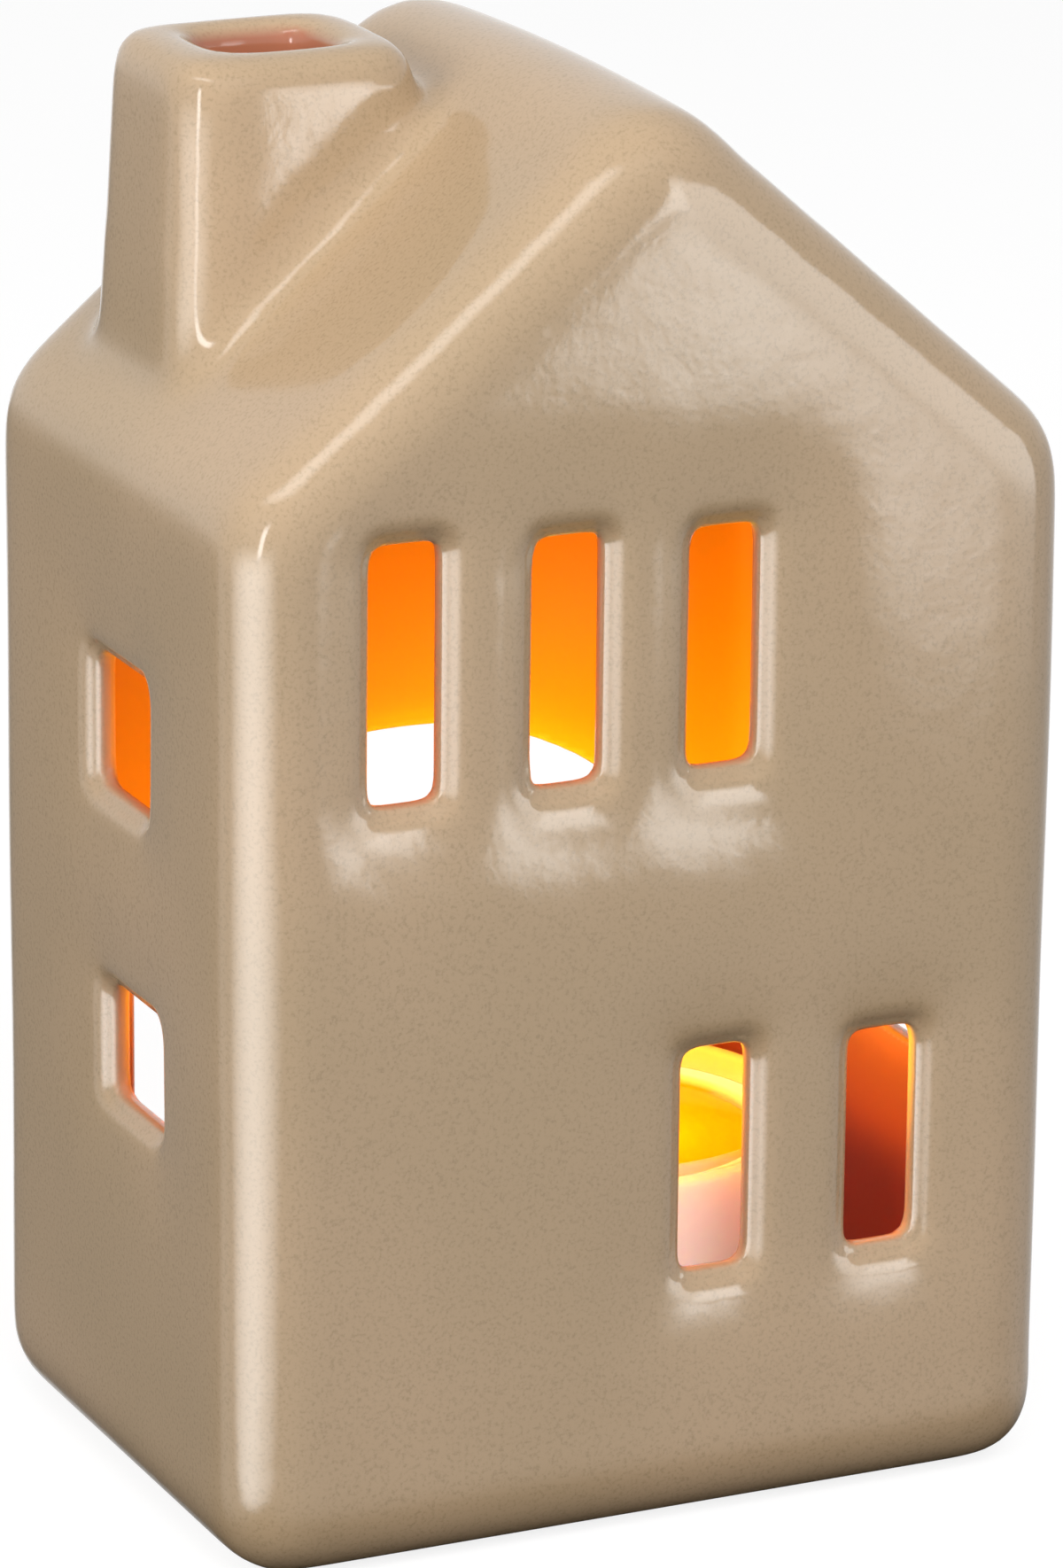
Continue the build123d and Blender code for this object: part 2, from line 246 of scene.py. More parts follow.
def srgb(red, green, blue):
    """A colour given by the eight-bit numbers of a screen, as linear light."""
    shares = [value / 255 for value in (red, green, blue)]
    return tuple(s / 12.92 if s <= 0.04045 else ((s + 0.055) / 1.055) ** 2.4 for s in shares)


def colour(name, description, red, green, blue):
    """A colour that a user can change."""
    return bpy.props.FloatVectorProperty(
        name=name, description=description, subtype="COLOR", min=0, max=1, default=srgb(red, green, blue)
    )


def length(name, description, millimetres):
    """A length that a user can change."""
    return bpy.props.FloatProperty(
        name=name, description=description, default=millimetres * MM, min=0, unit="LENGTH", precision=5
    )


def factor(name, description, default):
    """A plain number that a user can change."""
    return bpy.props.FloatProperty(name=name, description=description, default=default, min=0)


def passes(name, description, default):
    """A number of passes that a user can change."""
    return bpy.props.IntProperty(name=name, description=description, default=default, min=0)


def angle(name, description, degrees):
    """An angle that a user can change."""
    return bpy.props.FloatProperty(
        name=name, description=description, default=math.radians(degrees), subtype="ANGLE"
    )


class HouseLooks(bpy.types.PropertyGroup):
    """Form and glaze of the house."""

    grain: length("Mesh grain", "Spacing of the points on the softened shell", 0.9)
    fine_band: length("Fine band", "Width of the strip along the windows where the grain is halved", 3.0)
    firm_passes: passes("Firm passes", "Light smoothing", 32)
    soft_passes: passes("Soft passes", "Heavy smoothing", 19)
    softness: factor("Softness", "Share of the heavy smoothing that shows", 0.2)
    ridge_crown: length("Ridge crown", "How far the ridge rises in its middle", 0.75)
    wobble: length("Wobble", "How far the hand-made walls leave the flat", 0.25)
    dish: length("Dish", "How far a wall sinks beside its windows", 0.75)
    dish_reach: length("Dish reach", "How far from a window a wall sinks", 5.5)
    dish_passes: passes("Dish passes", "Blur of the dish", 19)
    opening_trim: length("Opening trim", "How far glaze builds up on the jambs", 0.45)
    glaze: colour("Glaze", "The glaze where it lies evenly", 180, 153, 123)
    pooled: colour("Pooled glaze", "The glaze where it has run together", 160, 138, 107)
    thin: colour("Thin glaze", "The glaze where it has drawn off an edge", 190, 163, 134)
    fleck: colour("Fleck", "Small dark flecks in the glaze", 132, 114, 86)
    room: colour("Room", "The clay inside", 180, 118, 40)
    # Low room is painted shade: the clay inside, darker and redder low down, where the candle's cup keeps
    # its light off.
    low_room_shade: colour("Low room", "The clay inside, low down", 160, 56, 10)
    flue: colour("Flue", "The bare clay in the flue", 162, 102, 76)
    # The jamb colour is a painted warm glow of candlelight on the jambs.
    jamb: colour("Jamb", "The warm clay that shows in the jambs", 190, 142, 110)
    cloud_grain: length("Cloud grain", "Width of the faint clouds in the glaze", 38.0)
    cloud_share: factor("Cloud share", "How strongly the clouds show", 0.45)
    pooling: factor("Pooling", "How strongly the glaze pools in hollows", 0.5)
    thinning: factor("Thinning", "How strongly the glaze draws off edges", 0.2)
    fleck_grain: length("Fleck grain", "Width of a fleck", 0.35)
    fleck_share: factor("Fleck share", "How strongly the flecks show", 0.42)
    # How strongly the painted warm candlelight shows on the jambs.
    jamb_glow_share: factor("Jamb share", "How strongly the clay shows in the jambs", 0.9)
    peel_grain: length("Peel grain", "Width of the slow ripple in the glaze", 3.2)
    peel_depth: length("Peel depth", "Depth of the ripple in the glaze", 0.03)
    roughness: factor("Roughness", "Roughness of the glaze", 0.08)
    clay_roughness: factor("Clay roughness", "What the bare clay inside adds to the roughness", 0.5)


class CandleLooks(bpy.types.PropertyGroup):
    """Materials and light of the candle."""

    cup: colour("Cup", "Clear plastic", 250, 252, 252)
    cup_alpha: factor("Cup alpha", "How much the cup hides", 0.25)
    wax: colour("Wax", "Translucent wax", 250, 240, 228)
    pool: colour("Wax pool", "Melted wax", 158, 116, 18)
    # Wax glow, pool glow and glow strength are a painted glow of candlelight in the wax.
    wax_glow: colour("Wax glow", "Candlelight that comes out of the wax", 226, 188, 170)
    pool_glow: colour("Pool glow", "Candlelight that comes out of the melted pool", 255, 160, 0)
    glow_strength: factor("Glow strength", "How strongly the wax glows", 0.5)
    glow_depth: length("Glow depth", "How far light travels in the wax", 3.0)
    cotton: colour("Cotton", "The wick in the wax", 214, 204, 180)
    char: colour("Char", "The burnt end of the wick", 24, 20, 17)
    steel: colour("Steel", "Tinplate of the wick holder", 196, 198, 201)
    flame_core: colour("Flame core", "The body of the flame", 255, 200, 30)
    flame_tip: colour("Flame tip", "The point of the flame", 250, 150, 12)
    flame_foot: colour("Flame foot", "The foot of the flame", 244, 150, 60)
    flame_height: length("Flame height", "Height of the flame", 17.0)
    flame_radius: length("Flame radius", "Widest half of the flame", 2.9)
    flame_strength: factor("Flame strength", "How bright the flame is seen", 1.1)
    light: colour("Candlelight", "Colour of the flame's light", 255, 206, 0)
    light_power: factor("Candlelight power", "Watts of the flame's light, upwards", 0.22)
    glow_power: factor("Candle glow power", "Watts of the flame's light on the wax", 0.04)


class StudioLooks(bpy.types.PropertyGroup):
    """Camera, sky and floor."""

    azimuth: angle("Azimuth", "How far the camera stands round from the front", -25.06)
    elevation: angle("Elevation", "How far the camera looks down", 17.52)
    roll: angle("Roll", "How far the camera leans", 0.60)
    distance: length("Distance", "From the camera to the point it looks at", 724.57)
    lens: bpy.props.FloatProperty(name="Lens", description="Focal length", default=185.69, unit="CAMERA")
    sky: factor("Sky", "Light from all round", 0.37)
    floor: colour("Floor", "The pale floor", 126, 126, 126)
    floor_glow: factor("Floor glow", "What the floor adds to reach the white of the backdrop", 0.84)


# Mesh tools

def alone(thing):
    """Makes one object the only selected and the active one."""
    bpy.ops.object.select_all(action="DESELECT")
    thing.select_set(True)
    bpy.context.view_layer.objects.active = thing


def welded_copy(node, name):
    """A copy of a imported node's mesh with its loose triangles joined up."""
    copy = bpy.data.objects.new(name, node.data.copy())
    bpy.context.scene.collection.objects.link(copy)
    copy.data.name = name
    alone(copy)
    bpy.ops.object.mode_set(mode="EDIT")
    bpy.ops.mesh.select_all(action="SELECT")
    bpy.ops.mesh.remove_doubles(threshold=WELD_DISTANCE)
    bpy.ops.object.mode_set(mode="OBJECT")
    return copy


def apply_modifier(thing, kind, **settings):
    """Adds a modifier with its settings and applies it."""
    alone(thing)
    modifier = thing.modifiers.new(kind.title(), kind)
    for name, value in settings.items():
        setattr(modifier, name, value)
    bpy.ops.object.modifier_apply(modifier=modifier.name)


def read_rows(items, what):
    """Three numbers of each vertex or face of a mesh, as rows."""
    flat = np.empty(len(items) * 3, np.float32)
    items.foreach_get(what, flat)
    return flat.reshape(-1, 3).astype(float)


def move_to(thing, rows, box):
    """Moves an object's vertices to these places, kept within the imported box."""
    low, high = box
    rows = np.clip(rows, np.array(low), np.array(high))
    thing.data.vertices.foreach_set("co", np.asarray(rows, np.float32).ravel())
    thing.data.update()


def mark(thing, name, values):
    """Keeps one number for each vertex, under a name that a material reads."""
    attribute = thing.data.attributes.new(name, "FLOAT", "POINT")
    attribute.data.foreach_set("value", np.asarray(values, np.float32))


def rise(values, low, high):
    """Rises smoothly from 0 at low to 1 at high."""
    share = np.clip((values - low) / (high - low), 0, 1)
    return share * share * (3 - 2 * share)


def band(values, ends):
    """Rises smoothly from 0 to 1 over a band whose ends are in millimetres."""
    low, high = ends
    return rise(values, low * MM, high * MM)


def blurred(thing, values, times):
    """Spreads the number of each vertex over its neighbours."""
    ends = np.empty(len(thing.data.edges) * 2, np.int32)
    thing.data.edges.foreach_get("vertices", ends)
    one, other = ends.reshape(-1, 2).T
    total = len(values)
    around = np.bincount(ends, minlength=total)
    for _ in range(times):
        gained = np.bincount(one, values[other], total) + np.bincount(other, values[one], total)
        values = (values + gained) / (1 + around)
    return values


def choose_faces(thing, chosen):
    """Goes into edit mode with only these faces selected."""
    alone(thing)
    bpy.ops.object.mode_set(mode="EDIT")
    bpy.ops.mesh.select_mode(type="FACE")
    bpy.ops.mesh.select_all(action="DESELECT")
    bpy.ops.object.mode_set(mode="OBJECT")
    thing.data.polygons.foreach_set("select", chosen)
    bpy.ops.object.mode_set(mode="EDIT")


def turned(name, rings, sides, centre=CANDLE_AXIS):
    """A closed piece turned about an upright axis: a filled circle that is drawn out ring by ring.
    Each ring is a radius and a height, and the last one is filled too."""
    centre = (centre.x, centre.y, 0)
    radius, height = rings[0]
    bpy.ops.object.select_all(action="DESELECT")
    bpy.ops.mesh.primitive_circle_add(
        vertices=sides, radius=radius, fill_type="NGON", location=(centre[0], centre[1], height)
    )
    piece = bpy.context.object
    piece.name = name
    piece.data.name = name
    bpy.ops.object.transform_apply()
    bpy.ops.object.mode_set(mode="EDIT")
    bpy.ops.mesh.select_mode(type="EDGE")
    bpy.ops.mesh.select_all(action="SELECT")
    for next_radius, next_height in rings[1:]:
        bpy.ops.mesh.extrude_edges_move(
            TRANSFORM_OT_translate={"value": (0, 0, next_height - height)}
        )
        scale = next_radius / radius
        bpy.ops.transform.resize(value=(scale, scale, 1), center_override=centre)
        radius, height = next_radius, next_height
    bpy.ops.mesh.edge_face_add()
    bpy.ops.mesh.select_all(action="SELECT")
    bpy.ops.mesh.normals_make_consistent(inside=False)
    bpy.ops.object.mode_set(mode="OBJECT")
    return piece


def arc(radius_out, height, rounding, start, end, steps):
    """Rings along a round corner of a turned piece, whose middle is this far out and this high. The
    angles are in degrees from level outwards."""
    angles = np.radians(np.linspace(start, end, steps + 1))
    return [(radius_out + rounding * math.cos(a), height + rounding * math.sin(a)) for a in angles]


def settle(thing, body, material, replaced=()):
    """Shades a finished piece smooth, gives it its material and sets it on its body."""
    alone(thing)
    bpy.ops.object.shade_smooth()
    thing.data.materials.clear()
    thing.data.materials.append(material)
    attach(thing, body)
    if replaced:
        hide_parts(*replaced)


# Shader tools

class Value:
    """What runs through one socket of a node tree. Arithmetic on a number adds Math nodes."""

    def __init__(self, shader, socket):
        self.shader = shader
        self.socket = socket

    def math(self, operation, first, second):
        """What a Math node makes of two numbers."""
        return self.shader.node("ShaderNodeMath", {0: first, 1: second}, operation=operation)

    def __add__(self, other):
        return self.math("ADD", self, other)

    def __sub__(self, other):
        return self.math("SUBTRACT", self, other)

    def __rsub__(self, other):
        return self.math("SUBTRACT", other, self)

    def __mul__(self, other):
        return self.math("MULTIPLY", self, other)

    __radd__ = __add__

    def step(self, low, high):
        """0 below low, 1 above high, and a smooth rise between them."""
        inputs = {"Value": self, "From Min": low, "From Max": high}
        return self.shader.node("ShaderNodeMapRange", inputs, interpolation_type="SMOOTHSTEP")


class Shader:
    """A node tree under construction, of a material or of the world."""

    def __init__(self, tree):
        self.tree = tree
        tree.nodes.clear()

    def node(self, kind, inputs=None, output=0, **settings):
        """Adds a node, sets it up, feeds its sockets and gives one of its outputs."""
        made = self.tree.nodes.new(kind)
        for name, value in settings.items():
            setattr(made, name, value)
        for key, value in (inputs or {}).items():
            if isinstance(value, Value):
                self.tree.links.new(value.socket, made.inputs[key])
            elif made.inputs[key].type == "RGBA":
                made.inputs[key].default_value = (*value[:3], 1)
            else:
                made.inputs[key].default_value = value
        return Value(self, made.outputs[output]) if made.outputs else None

    def place(self):
        """Where a point is on its piece, in metres."""
        return self.node("ShaderNodeTexCoord", output="Object")

    def axis(self, place, which):
        """One of the three numbers of a place."""
        return self.node("ShaderNodeSeparateXYZ", {"Vector": place}, output=which)

    def attribute(self, name):
        """The number that was kept for each vertex."""
        return self.node("ShaderNodeAttribute", output="Fac", attribute_name=name)

    def noise(self, place, grain, detail=2.0, roughness=0.5):
        """Noise whose blotches are about one grain across."""
        inputs = {"Vector": place, "Scale": 1 / grain, "Detail": detail, "Roughness": roughness}
        return self.node("ShaderNodeTexNoise", inputs)

    def mix(self, share, first, second):
        """A colour between two others."""
        return self.node("ShaderNodeMix", {0: share, 6: first, 7: second}, output=2, data_type="RGBA")

    def blend(self, share, first, second):
        """A surface between two others."""
        return self.node("ShaderNodeMixShader", {0: share, 1: first, 2: second})

    def bump(self, height, distance):
        """A normal that leans with a height."""
        return self.node("ShaderNodeBump", {"Height": height, "Distance": distance})

    def seen(self):
        """1 for a ray that shows the backdrop: straight, mirrored or through something clear."""
        path = self.tree.nodes.new("ShaderNodeLightPath")
        camera, glossy, clear = [
            Value(self, path.outputs[name])
            for name in ("Is Camera Ray", "Is Glossy Ray", "Is Transmission Ray")
        ]
        return camera.math("MAXIMUM", camera.math("MAXIMUM", camera, glossy), clear)


def new_material(name):
    """A material with an empty node tree."""
    material = bpy.data.materials.new(name)
    material.use_nodes = True
    return material, Shader(material.node_tree)


def finish_material(shader, inputs):
    """Ends a material in one surface, fed by the names of its sockets."""
    surface = shader.node("ShaderNodeBsdfPrincipled", inputs)
    shader.node("ShaderNodeOutputMaterial", {"Surface": surface})


# House

def plane_gaps(rows):
    """How far points lie inside the planes of the side walls, the end walls, both slopes of the roof
    and the foot, the smallest first."""
    side = HOUSE_HIGH.x - abs(rows[:, 0])
    end = HOUSE_HIGH.y - abs(rows[:, 1])
    drop = (RIDGE_HEIGHT - rows[:, 2]) * math.cos(SLOPE_ANGLE)
    lean = rows[:, 0] * math.sin(SLOPE_ANGLE)
    gaps = np.stack([side, end, drop - lean, drop + lean, rows[:, 2] - HOUSE_LOW.z], axis=1)
    return np.sort(gaps, axis=1)


def depth_inside(rows):
    """How far points lie inside the nearest of those planes."""
    return plane_gaps(rows)[:, 0]


def flue_depth(rows):
    """How far points lie inside the flue's walls. It is below zero outside the flue."""
    return np.min(np.minimum(rows - np.array(FLUE_LOW), np.array(FLUE_HIGH) - rows), axis=1)


def window_distance(rows):
    """How far points lie from the nearest jamb, sill or head of an opening in a wall."""
    nearest, second = plane_gaps(rows)[:, :2].T
    in_wall = (nearest > JAMB_STARTS) & (nearest < JAMB_ENDS) & (second > CORNER_CLEARANCE)
    jambs = rows[in_wall & (flue_depth(rows) < -FLUE_CLEARANCE) & (rows[:, 2] > FOOT_CLEARANCE)]
    tree = KDTree(len(jambs))
    for index, row in enumerate(jambs):
        tree.insert(row, index)
    tree.balance()
    return np.array([tree.find(row)[2] for row in rows])


class Shell:
    """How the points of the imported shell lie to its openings, walls and flue."""

    def __init__(self, rows):
        self.near = window_distance(rows)
        self.depth = depth_inside(rows)
        self.flue = flue_depth(rows)
        self.by_opening = 1 - band(self.near, OFF_JAMB)
        inside = np.maximum(band(self.depth, INSIDE_WALL), band(self.flue, INSIDE_FLUE))
        self.outside = 1 - np.maximum(inside, band(self.depth, INSIDE_OPENING) * self.by_opening)


def refine_windows(house, form, looks):
    """Halves the grain along the windows, though not along the back arch, and lays the new points on
    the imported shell."""
    middles = read_rows(house.data.polygons, "center")
    fine = (depth_inside(middles) < FINE_DEPTH) & (middles[:, 1] < FINE_BACK)
    choose_faces(house, fine & (window_distance(middles) < looks.fine_band))
    bpy.ops.mesh.subdivide(number_cuts=1)
    bpy.ops.object.mode_set(mode="OBJECT")
    apply_modifier(house, "SHRINKWRAP", target=form, wrap_method="NEAREST_SURFACEPOINT")


def thin_out_inside(house):
    """Leaves fewer faces inside the room, where they are hardly seen."""
    choose_faces(house, depth_inside(read_rows(house.data.polygons, "center")) > COARSE_DEPTH)
    bpy.ops.mesh.decimate(ratio=COARSE_SHARE)
    bpy.ops.object.mode_set(mode="OBJECT")


def ridge_lift(rows, shell, looks):
    """How far each point rises where the ridge bows up in its middle."""
    x, y, z = rows.T
    near_ridge = band(z, CROWN_HEIGHT) * (1 - band(abs(x), CROWN_WIDTH)) * shell.outside
    return looks.ridge_crown * near_ridge * (1 - (y / HOUSE_HIGH.y) ** 2)


def hand_waves(rows, shell, looks):
    """How far each point moves out with the slow waves in the walls. It is never above zero, so that
    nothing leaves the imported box."""
    x, y, z = rows.T
    quilted = np.sin(x / QUILT_ACROSS + QUILT_START) * np.sin(z / QUILT_UP)
    slanted = np.sin(y / SLANT_THROUGH + z / SLANT_UP)
    steep = np.sin(z / STEEP_UP + x / STEEP_ACROSS + STEEP_START)
    wave = (quilted + slanted + steep) / 3
    return looks.wobble * shell.outside * band(z, WOBBLE_OFF_FOOT) * (wave - 1) / 2


def dish_moves(house, firm, shell, looks):
    """How far each point moves across and through where the walls sink beside their windows."""
    sunk = looks.dish * np.exp(-(shell.near / looks.dish_reach) ** 2) * (1 - band(shell.depth, DISH_DEPTH))
    sunk = blurred(house, sunk, looks.dish_passes)
    side_gap = HOUSE_HIGH.x - abs(firm[:, 0])
    end_gap = HOUSE_HIGH.y - abs(firm[:, 1])
    on_side = band(end_gap - side_gap, DISH_CORNER)
    return np.sign(firm[:, :2]) * (sunk * np.stack([on_side, 1 - on_side])).T


def jamb_swell(shell, looks):
    """How far the glaze stands off each point of the jambs."""
    on_jamb = band(shell.depth, TRIM_START) * (1 - band(shell.depth, TRIM_END))
    return looks.opening_trim * on_jamb * (1 - band(shell.near, TRIM_OFF_JAMB))


def shape_shell(house, shell, looks):
    """Rounds the shell as glaze and hand work do, and marks its edges, hollows, jambs and inside."""
    firm = read_rows(house.data.vertices, "co")
    apply_modifier(house, "SMOOTH", factor=1.0, iterations=looks.soft_passes)
    soft = read_rows(house.data.vertices, "co")
    normals = read_rows(house.data.vertices, "normal")
    share = looks.softness * band(firm[:, 2], SOFT_OFF_FOOT) * band(shell.near, SOFT_OFF_JAMB)
    rounded = firm + (soft - firm) * share[:, None]

    outwards = hand_waves(rounded, shell, looks) + jamb_swell(shell, looks)
    rows = rounded + normals * outwards[:, None]
    rows[:, 2] += ridge_lift(rounded, shell, looks)
    rows[:, :2] -= dish_moves(house, firm, shell, looks)
    move_to(house, rows, (HOUSE_LOW, HOUSE_HIGH))

    stands_out = ((firm - soft) * normals).sum(axis=1)
    mark(house, "edge", band(stands_out, EDGE_STANDS_OUT) * shell.outside)
    mark(house, "hollow", band(-stands_out, HOLLOW_LIES_DEEP) * shell.outside)
    # The jamb mark carries the painted warm candlelight on the jambs.
    mark(house, "jamb", band(shell.depth, JAMB_GLOW_DEPTH) * shell.by_opening)
    mark(house, "room", band(shell.depth, ROOM_CLAY))
    mark(house, "flue", band(shell.flue, FLUE_CLAY))


def glaze_material(looks):
    """Gloss glaze: faintly cloudy and finely flecked, thin on edges and pooled in hollows. The jambs carry
    a painted warm glow of candlelight, the flue has the colour of clay, and the clay in the room is matt
    too and has painted shade low down."""
    material, shader = new_material("glazed_earthenware")
    place = shader.place()
    clouds = shader.noise(place, looks.cloud_grain, roughness=0.45).step(*CLOUD_RANGE)
    flecks = shader.noise(place, looks.fleck_grain, roughness=0.6).step(*FLECK_RANGE)
    room = shader.attribute("room")
    # Painted shade: the clay inside darkens and reddens towards the bottom of the room, in place of the
    # shadow of the candle's cup.
    up = shader.axis(place, "Z").step(ROOM_SHADE_FULL_BELOW, ROOM_SHADE_GONE_ABOVE)
    body = shader.mix(clouds * looks.cloud_share + CLOUD_BASE, looks.pooled, looks.glaze)
    body = shader.mix(shader.attribute("hollow") * looks.pooling, body, looks.pooled)
    body = shader.mix(shader.attribute("edge") * looks.thinning, body, looks.thin)
    body = shader.mix(flecks * looks.fleck_share, body, looks.fleck)
    # Painted warm candlelight on the jambs.
    body = shader.mix(shader.attribute("jamb") * looks.jamb_glow_share, body, looks.jamb)
    body = shader.mix(room, body, shader.mix(up, looks.low_room_shade, looks.room))
    body = shader.mix(shader.attribute("flue"), body, looks.flue)
    peel = shader.noise(place, looks.peel_grain, roughness=0.4) * PEEL_SHARE
    fine_peel = shader.noise(place, FINE_PEEL_GRAIN) * (1 - PEEL_SHARE)
    finish_material(shader, {
        "Base Color": body,
        "Roughness": clouds * CLOUD_ROUGHNESS + room * looks.clay_roughness + looks.roughness,
        "IOR": 1.52,
        "Normal": shader.bump(peel + fine_peel, looks.peel_depth),
    })
    return material


class TEALIGHT_OT_house(bpy.types.Operator):
    """Makes the slip-cast house: softened, a little uneven and glazed"""

    bl_idname = "tealight.house"
    bl_label = "Glazed house"

    def execute(self, context):
        looks = context.scene.house_looks
        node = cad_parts["ceramic_house"]
        form = welded_copy(node, "house_form")
        house = welded_copy(node, "glazed_house")
        apply_modifier(house, "REMESH", mode="VOXEL", voxel_size=looks.grain)
        apply_modifier(house, "SHRINKWRAP", target=form, wrap_method="NEAREST_SURFACEPOINT")
        refine_windows(house, form, looks)
        shell = Shell(read_rows(house.data.vertices, "co"))
        apply_modifier(house, "SMOOTH", factor=0.5, iterations=looks.firm_passes)
        shape_shell(house, shell, looks)
        thin_out_inside(house)
        bpy.data.objects.remove(form)
        settle(house, "house", glaze_material(looks), ["ceramic_house"])
        return {"FINISHED"}


# Candle

def cup_rings():
    """The section of the cup, from the middle of its foot outwards, over the lip and back inside."""
    low, high = CUP_LOW.z, CUP_HIGH.z
    neck = high - CUP_LIP_HEIGHT
    corner = (CUP_FOOT_RADIUS - CUP_FOOT_ROUND, low + CUP_FOOT_ROUND)
    lip_out = (CUP_RADIUS - CUP_LIP_ROUND, high - CUP_LIP_ROUND)
    lip_in = (CUP_MOUTH_RADIUS + CUP_LIP_ROUND, high - CUP_LIP_ROUND)
    under_lip = (CUP_RADIUS - CUP_LIP_UNDERCUT, neck + CUP_LIP_UNDERCUT)
    return (
        [(CUP_FLAT_RADIUS, low)]
        + arc(*corner, CUP_FOOT_ROUND, -90, 0, 6)
        + [(CUP_NECK_RADIUS, neck)]
        + arc(*under_lip, CUP_LIP_UNDERCUT, -90, 0, 3)
        + arc(*lip_out, CUP_LIP_ROUND, 0, 90, 4)
        + arc(*lip_in, CUP_LIP_ROUND, 90, 180, 3)
        + arc(*corner, CUP_FOOT_ROUND - CUP_WALL, 0, -90, 5)
        + [(CUP_FLAT_RADIUS, low + CUP_WALL)]
    )


def cup_material(looks):
    """Clear plastic, faintly hazy, with a ripple from the mould."""
    material, shader = new_material("clear_cup")
    ripple = shader.noise(shader.place(), CUP_RIPPLE_GRAIN, detail=1, roughness=0.4)
    finish_material(shader, {
        "Base Color": looks.cup,
        "Roughness": ripple * CUP_RIPPLE_ROUGHNESS + CUP_ROUGHNESS,
        "IOR": 1.49,
        "Alpha": looks.cup_alpha,
        "Normal": shader.bump(ripple, CUP_RIPPLE_DEPTH),
    })
    return material


class TEALIGHT_OT_cup(bpy.types.Operator):
    """Turns the clear cup of the tealight"""

    bl_idname = "tealight.cup"
    bl_label = "Tealight cup"

    def execute(self, context):
        cup = turned("clear_tealight_cup", cup_rings(), CUP_SIDES)
        cup.visible_shadow = False
        material = cup_material(context.scene.candle_looks)
        settle(cup, "tealight", material, ["tealight_cup"])
        return {"FINISHED"}


def wax_rings():
    """The section of the wax, from the middle of its foot up the side, down into the pool and up the
    wick."""
    rim_height = WAX_HIGH.z - WAX_RIM_ROUND
    rim_edge = WAX_RADIUS - WAX_RIM_WIDTH
    foot_round_out = WAX_RADIUS - WAX_FOOT_INSET - WAX_FOOT_ROUND
    return (
        [(WAX_FLAT_RADIUS, WAX_LOW.z)]
        + arc(foot_round_out, WAX_LOW.z + WAX_FOOT_ROUND, WAX_FOOT_ROUND, -90, 0, 5)
        + arc(WAX_RADIUS - WAX_RIM_ROUND, rim_height, WAX_RIM_ROUND, 0, 90, 4)
        + arc(rim_edge, rim_height, WAX_RIM_ROUND, 90, 150, 3)
        + arc(rim_edge - POOL_BANK_WIDTH, POOL_LEVEL + POOL_BANK_ROUND, POOL_BANK_ROUND, -40, -90, 3)
        + [(rim_edge - POOL_SAG_INSET, POOL_LEVEL - POOL_SAG)]
        + [(out * MM, POOL_LEVEL + up * MM) for out, up in POOL_BY_WICK]
        + [(WICK_RADIUS, POOL_LEVEL + POOL_CLIMB)]
    )


def wax_material(looks):
    """Translucent wax, dull where it is set and wet in the pool, with a painted glow of candlelight in it
    that is warmer in the pool.
    """
    material, shader = new_material("candle_wax")
    clouds = shader.noise(shader.place(), WAX_CLOUD_GRAIN, detail=3)
    wet = shader.attribute("melted")
    set_wax = shader.mix(clouds * WAX_CLOUD_SHARE, looks.wax, looks.cotton)
    finish_material(shader, {
        "Base Color": shader.mix(wet, set_wax, looks.pool),
        "Roughness": WAX_ROUGHNESS - wet * (WAX_ROUGHNESS - POOL_ROUGHNESS),
        "IOR": 1.44,
        "Subsurface Weight": 1.0,
        "Subsurface Radius": (1.0, 0.62, 0.34),
        "Subsurface Scale": looks.glow_depth,
        # Painted glow: candlelight scattered in the wax, given as emission.
        "Emission Color": shader.mix(wet, looks.wax_glow, looks.pool_glow),
        "Emission Strength": looks.glow_strength,
        "Normal": shader.bump(clouds * (1 - wet), WAX_CLOUD_DEPTH),
    })
    return material


class TEALIGHT_OT_wax(bpy.types.Operator):
    """Turns the wax with its melted pool"""

    bl_idname = "tealight.wax"
    bl_label = "Candle wax"

    def execute(self, context):
        wax = turned("translucent_wax", wax_rings(), WAX_SIDES)
        rows = read_rows(wax.data.vertices, "co")
        out = np.hypot(rows[:, 0] - CANDLE_AXIS.x, rows[:, 1] - CANDLE_AXIS.y)
        melted = 1 - rise(out, POOL_EDGE_RADIUS, POOL_EDGE_RADIUS + POOL_EDGE_WIDTH)
        mark(wax, "melted", melted * (rows[:, 2] > (WAX_LOW.z + WAX_HIGH.z) / 2))
        settle(wax, "tealight", wax_material(context.scene.candle_looks), ["candle_wax"])
        return {"FINISHED"}


def twist_strands(rows):
    """Draws a straight wick in between its strands, which wind about the candle's axis. The rows that
    it gives are measured from that axis."""
    x, y = rows[:, 0] - CANDLE_AXIS.x, rows[:, 1] - CANDLE_AXIS.y
    lobes = abs(np.cos(WICK_STRANDS / 2 * (np.arctan2(y, x) - rows[:, 2] / WICK_TWIST)))
    swell = STRAND_HOLLOW + STRAND_SWELL * lobes
    return np.stack([x * swell, y * swell, rows[:, 2]], axis=1)


def bend_over(rows, start):
    """Bends rows that are measured from the candle's axis towards +X, from a height upwards, and sets
    them in their place."""
    x, y, z = rows.T
    turn = np.maximum(z - start, 0) / WICK_BEND_RADIUS
    across = CANDLE_AXIS.x + WICK_BEND_RADIUS * (1 - np.cos(turn)) + x * np.cos(turn)
    up = np.minimum(z, start) + WICK_BEND_RADIUS * np.sin(turn) - x * np.sin(turn)
    return np.stack([across, CANDLE_AXIS.y + y, up], axis=1)


